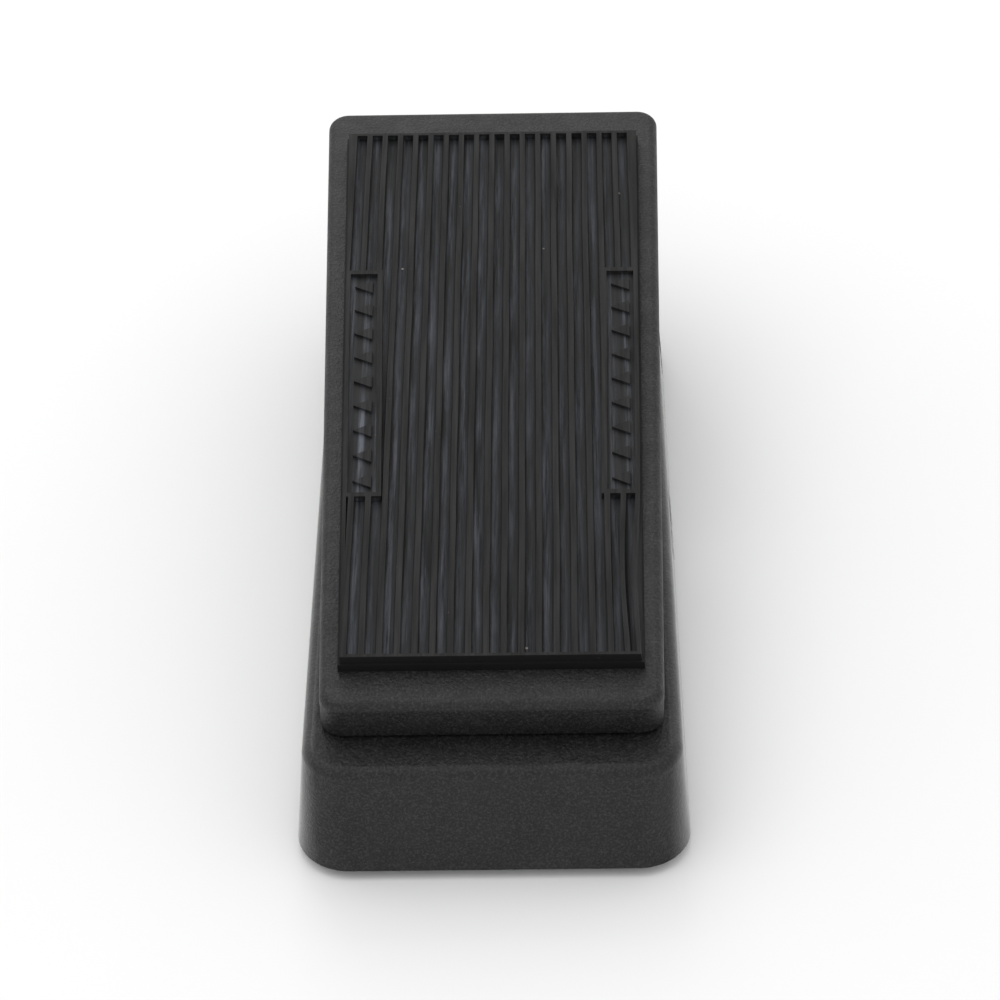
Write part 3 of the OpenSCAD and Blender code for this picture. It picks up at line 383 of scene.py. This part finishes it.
def pad_rubber():
    """Black rubber: ribs rubbed dark, and grooves that hold streaks of grey dust, with painted shade across each
    groove, towards the pad's right and on its walls.
    """
    n = Nodes("pad_rubber")
    square = n.moved(location=tuple(PIVOT), rotation=(REST_SLOPE, 0, 0), kind="TEXTURE")
    ribs = n.moved(square, rotation=(0, 0, RIB_TURN), kind="TEXTURE")
    x, y, z = n.split(ribs)
    across = n.math("FRACT", n.math("DIVIDE", x, GROOVE_PITCH))
    depth = n.math("DIVIDE", n.math("SUBTRACT", PAD_TOP - 0.25 * MM, z), GROOVE_DEPTH)
    in_groove = n.ramp(depth, (0.1, 0.0), (0.5, 1.0))
    # Painted shade across each groove floor: dark at the left corner, lightest just past it, darker towards the
    # right wall
    painted_groove_shade = n.ramp(across, (0.0, 0.25), (0.1, 1.0), (0.34, 0.85), (0.5, 0.35), (0.66, 0.15))
    streak = n.noise(1, 5, 0.7, n.moved(ribs, scale=(1000, 32, 300)))
    smear = n.noise(1, 4, 0.6, n.moved(ribs, scale=(120, 26, 100)))
    dust_and_painted_shade = n.math("MULTIPLY", n.ramp(streak, (0.4, 0.05), (0.62, 1.0)),
                   n.ramp(smear, (0.38, 0.25), (0.62, 1.0)))
    dust_and_painted_shade = n.math("MULTIPLY", dust_and_painted_shade, painted_groove_shade)
    # Painted shade: the grooves grow darker towards the pad's right side, where less light falls
    dust_and_painted_shade = n.math("MULTIPLY", dust_and_painted_shade, n.ramp(n.math("ADD", n.math("DIVIDE", x, 0.09), 0.5),
                                            (0.2, 1.0), (0.9, 0.6)))
    floor_tone = n.mix(dust_and_painted_shade, (0.0095, 0.0095, 0.0099), (0.12, 0.129, 0.15))
    rib_tone = n.mix(n.ramp(streak, (0.4, 0.0), (0.62, 1.0)),
                     (0.0042, 0.0037, 0.0034), (0.0165, 0.015, 0.0148))
    tone = n.mix(in_groove, rib_tone, floor_tone)
    x, y, z = n.split(square)
    slope = (pad_half(PAD_Y1) - pad_half(PAD_Y0)) / (PAD_Y1 - PAD_Y0)
    half = n.math("ADD", n.math("MULTIPLY", y, slope), pad_half(0))
    inside = n.math("MINIMUM", n.math("SUBTRACT", half, n.math("ABSOLUTE", x)),
                    n.math("SUBTRACT", y, PAD_Y0))
    # Painted shade: a near-black band within about 0.7 mm of the pad's sides and heel end, darkening its walls
    painted_wall_shade = n.ramp(n.math("DIVIDE", inside, 2 * MM), (0.32, 1.0), (0.4, 0.0))
    tone = n.mix(painted_wall_shade, tone, grey(0.002))
    crumbs = n.ramp(n.cells(85), (0.022, 1.0), (0.036, 0.0))
    specks = n.ramp(n.cells(330), (0.03, 1.0), (0.05, 0.0))
    tone = n.mix(crumbs, tone, (0.3, 0.27, 0.23))
    specks = n.math("MULTIPLY", specks, n.ramp(smear, (0.5, 0.0), (0.62, 0.6)))
    tone = n.mix(specks, tone, (0.2, 0.19, 0.17))
    grain = n.bump(n.noise(1, 4, 0.6, n.moved(ribs, scale=(2600, 500, 2600))), 0.3, 0.15 * MM)
    rough = n.ramp(smear, (0.3, 0.62), (0.7, 0.8))
    return n.done(tone, rough, grain, Specular_IOR_Level=0.3)


def foot_rubber():
    n = Nodes("foot_rubber")
    tone = n.ramp(n.noise(120, 4), (0.3, grey(0.011)), (0.7, grey(0.022)))
    return n.done(tone, n.ramp(n.noise(300, 3), (0.3, 0.7), (0.7, 0.85)),
                  n.bump(n.noise(1800, 3), 0.25, 0.2 * MM))


def plate_steel():
    """Black painted sheet steel with fine scratches."""
    n = Nodes("plate_steel")
    scratch = n.noise(1, 5, 0.7, n.moved(rotation=(0, 0, 0.3), scale=(1400, 30, 400)))
    tone = n.ramp(scratch, (0.35, grey(0.014)), (0.72, grey(0.03)))
    return n.done(tone, n.ramp(scratch, (0.3, 0.42), (0.7, 0.58)),
                  n.bump(n.noise(900, 3), 0.2, 0.15 * MM))


def metal(name, colour, low_rough, high_rough, brushed=(500, 500, 500)):
    """Bare or plated metal with fine turning or rolling marks."""
    n = Nodes(name)
    marks = n.noise(1, 5, 0.65, n.moved(scale=brushed))
    dark = tuple(c * 0.72 for c in colour)
    tone = n.mix(n.ramp(marks, (0.3, 0.0), (0.7, 1.0)), dark, colour)
    return n.done(tone, n.ramp(marks, (0.3, low_rough), (0.7, high_rough)),
                  n.bump(marks, 0.15, 0.05 * MM), Metallic=1.0)


def plastic(name, low, high, rough=(0.4, 0.55), scale=240):
    """Moulded or sheet plastic with a faint mottle."""
    n = Nodes(name)
    tone = n.ramp(n.noise(scale, 4), (0.3, low), (0.7, high))
    return n.done(tone, n.ramp(n.noise(scale * 3, 3), (0.3, rough[0]), (0.7, rough[1])),
                  n.bump(n.noise(scale * 5, 2), 0.12, 0.1 * MM))


MATERIALS = {
    "cast_paint": cast_paint("treadle_paint", False),
    "base_paint": cast_paint("base_paint", True),
    "pad_rubber": pad_rubber(),
    "foot_rubber": foot_rubber(),
    "plate_steel": plate_steel(),
    "print_white": plastic("print_white", grey(0.66), grey(0.82), (0.45, 0.6), 900),
    "nylon": plastic("nylon", (0.62, 0.6, 0.52), (0.78, 0.76, 0.68)),
    "steel": metal("steel", (0.5, 0.5, 0.52), 0.28, 0.45, (900, 60, 900)),
    "nickel": metal("nickel", (0.68, 0.66, 0.62), 0.14, 0.3),
    "brass": metal("brass", (0.7, 0.5, 0.22), 0.22, 0.4, (1400, 200, 200)),
    "phenolic": plastic("phenolic", (0.12, 0.05, 0.02), (0.2, 0.09, 0.035)),
    "wire_red": plastic("wire_red", (0.4, 0.02, 0.015), (0.5, 0.03, 0.02)),
    "wire_white": plastic("wire_white", (0.62, 0.6, 0.55), (0.74, 0.72, 0.68)),
    "wire_black": plastic("wire_black", grey(0.015), grey(0.025)),
    "wire_green": plastic("wire_green", (0.02, 0.14, 0.04), (0.03, 0.2, 0.06)),
}


# ---- Base casting ----

def base_shell(name, z0, z1, inset, edge, steps=6):
    """Block with leaning sides and a rounded upper edge; inset thins it all round."""
    radii = [HEEL_R, TOE_R, TOE_R, HEEL_R]
    signs = [(1, -1), (1, 1), (-1, 1), (-1, -1)]

    def ring(z, lean, shrink):
        centres = [(sx * (HALF_WID - r), sy * (HALF_LEN - r - lean * (END_LEAN - SIDE_LEAN)))
                   for (sx, sy), r in zip(signs, radii)]
        return rounded_ring(centres, [r - inset - lean * SIDE_LEAN - shrink for r in radii], z)

    rings = [ring(z0, 0, 0), ring(z1 - edge - WALL_UPRIGHT, 1, 0)]
    for i in range(steps + 1):
        a = math.radians(90 * i / steps)
        rings.append(ring(z1 - edge + edge * math.sin(a), 1, edge * (1 - math.cos(a))))
    return loft(name, rings)


EAR_R = 9 * MM
EAR_FOOT = 1.35 * EAR_R
BUSH_FLANGE_T = 1 * MM
POST_R = 5 * MM
PLATE_T = 1.5 * MM
BRAKE_SCREW_Y = 7.5 * MM
BRAKE_HOLE_R = 1.55 * MM
BUMPER_GAP = 0.1 * MM
RACK_GAP = 1.5 * MM
RACK_DEPTH = 7 * MM
PITCH_R = 5.1 * MM
TOOTH_PLAY = 0.7225 * MM
JACK_Y, JACK_Z = (sum(c) / 2 for c in zip(*[(v.y, v.z) for v in extent("input_jack_bushing")]))
JACK_SEAT_X = extent("input_jack_washer")[0].x
JACK_WELL_R = 9 * MM
JACK_BOSS_R = JACK_WELL_R + 1.7 * MM
JACK_HOLE_R = 4.85 * MM
BOSS_SUNK = 0.4 * MM


def base_casting():
    casting = base_shell("base_casting", FOOT_H, DECK_Z, 0, DECK_EDGE)
    inside = base_shell("inside", FOOT_H - 1 * MM, DECK_Z - WALL, WALL, DECK_EDGE / 2)
    combine(casting, [inside], "DIFFERENCE")
    bush = extent("pivot_bush_right")
    ear_x0, ear_x1 = bush[0].x, bush[1].x - BUSH_FLANGE_T
    added, cut = [], []
    for side in (-1, 1):
        x0, x1 = sorted((side * ear_x0, side * ear_x1))
        arch = [(PIVOT.y + EAR_R * math.cos(a), PIVOT.z + EAR_R * math.sin(a))
                for a in (math.radians(180 * k / 24) for k in range(25))]
        foot = [(-EAR_FOOT, DECK_Z - WALL / 3), (EAR_FOOT, DECK_Z - WALL / 3)]
        added.append(prism("ear", foot + arch, x0, x1, "X"))
        bore = circle(BUSH_R + FIT_GAP, (PIVOT.y, PIVOT.z))
        cut.append(prism("ear_bore", bore, x0 - WALL, x1 + WALL, "X"))
        well = sorted((side * JACK_SEAT_X, side * (HALF_WID + WALL)))
        cut.append(prism("jack_well", circle(JACK_WELL_R, (JACK_Y, JACK_Z), 64), *well, "X"))
        boss = sorted((side * (JACK_SEAT_X - WALL), side * (HALF_WID - SIDE_LEAN - BOSS_SUNK)))
        added.append(prism("jack_boss", circle(JACK_BOSS_R, (JACK_Y, JACK_Z), 64), *boss, "X"))
        hole = sorted((side * (JACK_SEAT_X - 2 * WALL), side * (HALF_WID + WALL)))
        cut.append(prism("jack_hole", circle(JACK_HOLE_R, (JACK_Y, JACK_Z)), *hole, "X"))
    for node in ("heel_bumper_left", "heel_bumper_right", "toe_bumper_left", "toe_bumper_right"):
        low, high = extent(node)
        spot = ((low.x + high.x) / 2, (low.y + high.y) / 2)
        seat = circle((high.x - low.x) / 2 + BUMPER_GAP, spot)
        cut.append(prism("bumper_seat", seat, low.z, DECK_Z + WALL))
    for side in (-1, 1):
        hole = circle(BRAKE_HOLE_R, (0, side * BRAKE_SCREW_Y))
        cut.append(prism("brake_hole", hole, DECK_Z - 2 * WALL, DECK_Z + WALL))
    half = extent("rack")[1].x + RACK_GAP
    slot_y = joint("pinion_spin")["pos_m"][1] + PITCH_R - TOOTH_PLAY
    slot = box_outline(-half, half, slot_y - RACK_GAP, slot_y + RACK_DEPTH + RACK_GAP)
    cut.append(prism("rack_slot", slot, DECK_Z - 2 * WALL, DECK_Z + WALL))
    for side in (-1, 1):
        for node in ("foot_heel_right", "foot_toe_right"):
            low, high = extent(node)
            spot = (side * (low.x + high.x) / 2, (low.y + high.y) / 2)
            added.append(prism("post", circle(POST_R, spot), FOOT_H + PLATE_T, DECK_Z - WALL / 2))
    combine(casting, added, "UNION")
    combine(casting, cut, "DIFFERENCE")
    soften(casting, 0.45 * MM, 2, 40)
    return finish_piece(casting, "base", "cast_paint", MATERIALS["base_paint"], "base_housing")


# ---- Treadle casting ----

def treadle_block(name, z0, z1, inset, edge, steps=6):
    """Tapered block with rounded corners and upper edge, square to the treadle."""
    signs = [(1, HEEL_Y + TREADLE_R), (1, TOE_Y - TREADLE_R), (-1, TOE_Y - TREADLE_R),
             (-1, HEEL_Y + TREADLE_R)]
    centres = [(side * (treadle_half(y) - TREADLE_R), y) for side, y in signs]

    def ring(z, shrink):
        return rounded_ring(centres, [TREADLE_R - inset - shrink] * 4, z)

    rings = [ring(z0, 0)]
    for i in range(steps + 1):
        a = math.radians(90 * i / steps)
        rings.append(ring(z1 - edge + edge * math.sin(a), edge * (1 - math.cos(a))))
    return loft(name, rings)


def below_skirts():
    """What lies under the skirts: level with the deck at both ends of the travel."""
    reach, deep = 200 * MM, 60 * MM

    def along(angle, s):
        return (s * math.cos(angle) + SKIRT_DROP * math.sin(angle),
                s * math.sin(angle) - SKIRT_DROP * math.cos(angle))

    heel, toe = -REST_SLOPE, TRAVEL - REST_SLOPE
    middle = (0, -SKIRT_DROP / math.cos(heel))
    outline = [(-reach, -deep), (reach, -deep), along(toe, reach), middle, along(heel, -reach)]
    return prism("below_skirts", outline, -reach, reach, "X")


LUG_R = 6.5 * MM
LUG_X = 33.5 * MM
SCREW_R = 2 * MM
TREADLE_SPARE = 4 * MM
INNER_EDGE = 1 * MM
BORE_SPARE = 5 * MM


def treadle_casting():
    low = -SKIRT_DROP - TREADLE_SPARE
    casting = treadle_block("treadle_casting", low, TREADLE_TOP, 0, TREADLE_EDGE)
    inside = treadle_block("inside", low - WALL, TREADLE_TOP - TOP_T, SKIRT_T, INNER_EDGE)
    combine(casting, [inside, below_skirts()], "DIFFERENCE")
    shaft = extent("pivot_shaft")
    screws = extent("shaft_set_screws")
    added, cut = [], []
    for side in (-1, 1):
        lug = sorted((side * LUG_X, side * (treadle_half(0) - SKIRT_T / 2)))
        arch = [(LUG_R * math.cos(a), LUG_R * math.sin(a))
                for a in (math.radians(180 + 180 * k / 24) for k in range(25))]
        top = [(LUG_R, TREADLE_TOP - TOP_T / 2), (-LUG_R, TREADLE_TOP - TOP_T / 2)]
        added.append(prism("lug", arch + top, *lug, "X"))
        spot = (side * (screws[1].x - SCREW_R), 0)
        cut.append(prism("screw_hole", circle(SCREW_R + FIT_GAP, spot), 0, TREADLE_TOP + WALL))
    bore = circle(SHAFT_R + FIT_GAP)
    cut.append(prism("shaft_bore", bore, shaft[0].x - BORE_SPARE, shaft[1].x + BORE_SPARE, "X"))
    combine(casting, added, "UNION")
    combine(casting, cut, "DIFFERENCE")
    soften(casting, 0.4 * MM, 2, 40)
    placed(casting, ON_TREADLE)
    return finish_piece(casting, "treadle", "cast_paint", MATERIALS["cast_paint"], "treadle")


# ---- Tread pad ----

STEP_Z = TREADLE_TOP + 2.5 * MM
STEP_IN = 0.6 * MM
PAD_ROUND = 0.3 * MM


def pad_ring(z, inset):
    """The pad's outline at a height, drawn in by an inset."""
    y0, y1 = PAD_Y0 + inset, PAD_Y1 - inset
    return [(-pad_half(y0) + inset, y0, z), (pad_half(y0) - inset, y0, z),
            (pad_half(y1) - inset, y1, z), (-pad_half(y1) + inset, y1, z)]


def side_block(name, side, y0, y1, near, far, z0, z1):
    """Block along one side of the pad, between two distances in from that side."""
    outline = [(side * (pad_half(y0) - near), y0), (side * (pad_half(y0) - far), y0),
               (side * (pad_half(y1) - far), y1), (side * (pad_half(y1) - near), y1)]
    return prism(name, outline, z0, z1)


def grooves():
    """All the grooves as one tool, stopped short of the pad's frame and of the panels."""
    low, over = PAD_TOP - GROOVE_DEPTH, PAD_TOP + 3 * MM
    floor_r = 0.35 * MM
    width = GROOVE_PITCH - RIB_W
    verts, faces = [], []
    profile = [(0, over), (0, low + floor_r), (floor_r, low), (width - floor_r, low),
               (width, low + floor_r), (width, over)]
    count = len(profile)
    for i in range(GROOVES):
        x = (i - GROOVES / 2) * GROOVE_PITCH
        first = len(verts)
        for y in (PAD_Y0 - 5 * MM, PAD_Y1 + 5 * MM):
            verts += [(x + u, y, w) for u, w in profile]
        faces.append([first + k for k in range(count)])
        faces.append([first + count + k for k in reversed(range(count))])
        for k in range(count):
            n = (k + 1) % count
            faces.append([first + k, first + count + k, first + count + n, first + n])
    tool = placed(new_piece("grooves", verts, faces), Matrix.Rotation(RIB_TURN, 4, "Z"))
    ends = loft("ends", [pad_ring(z, PAD_FRAME) for z in (TREADLE_TOP, over + 1 * MM)])
    combine(tool, [ends], "INTERSECT")
    y0, y1 = PANEL_Y - PANEL_LEN / 2 - PANEL_EDGE, PANEL_Y + PANEL_LEN / 2 + PANEL_EDGE
    beds = [side_block("bed", side, y0, y1, -5 * MM, PANEL_NEAR + PANEL_W + PANEL_EDGE,
                       TREADLE_TOP, over + 2 * MM) for side in (-1, 1)]
    return combine(tool, beds, "DIFFERENCE")


def arrow(x, y):
    """Raised arrow head that points to the left, the way the signal goes."""
    h = ARROW_W / 2
    outline = [(h, -h), (h, h), (-h, 0)]
    z = PAD_TOP - PANEL_DEPTH
    return prism("arrow", [(x + u, y + v) for u, v in outline], z - 0.3 * MM, z + ARROW_H)


def wear(point):
    """How use has pulled the rubber about: small waves, and a rib pushed in at the heel's right."""
    x, y, z = point
    high = (z - TREADLE_TOP) / (PAD_TOP - TREADLE_TOP)
    wave = noise.noise(Vector((x * 60, y * 28, 3.1))) * 0.22 * MM
    right = max(0.0, min(1.0, (x - pad_half(y) + 9 * MM) / (7 * MM)))
    heel = math.exp(-((y - PAD_Y0 - 28 * MM) / (26 * MM)) ** 2)
    push = -1.7 * MM * right * heel * high
    lift = noise.noise(Vector((x * 45, y * 20, 8.7))) * 0.14 * MM - 0.14 * MM
    return Vector((x + high * wave + push, y, z + high * lift))


def tread_mat():
    mat = loft("tread_mat", [pad_ring(TREADLE_TOP, 0), pad_ring(STEP_Z, 0),
                             pad_ring(STEP_Z + 0.05 * MM, STEP_IN),
                             pad_ring(PAD_TOP, STEP_IN)])
    combine(mat, [grooves()], "DIFFERENCE")
    y0, y1 = PANEL_Y - PANEL_LEN / 2, PANEL_Y + PANEL_LEN / 2
    beds = [side_block("panel", side, y0, y1, PANEL_NEAR, PANEL_NEAR + PANEL_W,
                       PAD_TOP - PANEL_DEPTH, PAD_TOP + WALL) for side in (-1, 1)]
    combine(mat, beds, "DIFFERENCE")
    marks = []
    for side in (-1, 1):
        for i in range(ARROWS):
            y = PANEL_Y + (i - (ARROWS - 1) / 2) * PANEL_LEN / ARROWS
            marks.append(arrow(side * (pad_half(y) - PANEL_NEAR - PANEL_W / 2), y))
    combine(mat, marks, "UNION")
    soften(mat, 0.16 * MM, 2, 30)
    mat.modifiers.clear()
    slice_along(mat, Vector((0, 1, 0)), PAD_Y0, PAD_Y1, 3.5 * MM)
    for vertex in mat.data.vertices:
        vertex.co = wear(vertex.co)
    shade(mat, 50)
    placed(mat, ON_TREADLE)
    return finish_piece(mat, "treadle", "pad_rubber", MATERIALS["pad_rubber"], "tread_pad")


# ---- Stage, light and camera ----

def stage_floor():
    size = 3.0
    floor = prism("floor", box_outline(-size, size, -size, size), -10 * MM, 0)
    n = Nodes("floor")
    tone = n.ramp(n.noise(3, 3), (0.3, grey(0.9)), (0.7, grey(0.915)))
    floor.data.materials.append(n.done(tone, 0.75, Specular_IOR_Level=0.15))


def area_light(name, place, target, size, power):
    data = bpy.data.lights.new(name, "AREA")
    data.shape = "SQUARE"
    data.size = size
    data.energy = power
    light = bpy.data.objects.new(name, data)
    light.location = place
    light.rotation_euler = (Vector(target) - Vector(place)).to_track_quat("-Z", "Y").to_euler()
    bpy.context.scene.collection.objects.link(light)


def lighting():
    world = bpy.data.worlds.new("world")
    bpy.context.scene.world = world
    world.use_nodes = True
    background = world.node_tree.nodes["Background"]
    background.inputs["Color"].default_value = (1.0, 1.0, 1.0, 1)
    background.inputs["Strength"].default_value = 0.88
    area_light("overhead", (-0.5, 0.15, 1.7), (0, 0, 0), 1.8, 7)
    area_light("toe_side", (-0.2, 1.15, 1.1), (0, 0.05, 0.05), 0.7, 3.5)
    bpy.context.scene.view_settings.view_transform = "Standard"


def camera():
    """Looks down on the heel, a little to the right of the pedal's middle."""
    down, yaw, roll = math.radians(39), math.radians(0.91), math.radians(-1.27)
    turn = Matrix.Rotation(yaw, 3, "Z")
    ahead = turn @ Vector((0, math.cos(down), -math.sin(down)))
    right = turn @ Vector((1, 0, 0))
    up = turn @ Vector((0, math.sin(down), math.cos(down)))
    right, up = (math.cos(roll) * right + math.sin(roll) * up,
                 math.cos(roll) * up - math.sin(roll) * right)
    data = bpy.data.cameras.new("camera")
    data.sensor_width = 36
    data.lens = 118.2
    data.clip_start, data.clip_end = 0.01, 20
    made = bpy.data.objects.new("camera", data)
    made.matrix_world = Matrix((right, up, -ahead)).transposed().to_4x4()
    made.location = (0.01305, -0.721, 0.607)
    bpy.context.scene.collection.objects.link(made)
    bpy.context.scene.camera = made


def dress_frame():
    """Gives every carried-over CAD node the material of its slot in the record."""
    for part in frame["record"]["subparts"]:
        node = frame["nodes"][part["node"]]
        node.data.materials.clear()
        node.data.materials.append(MATERIALS[part["material_slot"]])


camera()
lighting()
stage_floor()
dress_frame()
base_casting()
treadle_casting()
tread_mat()
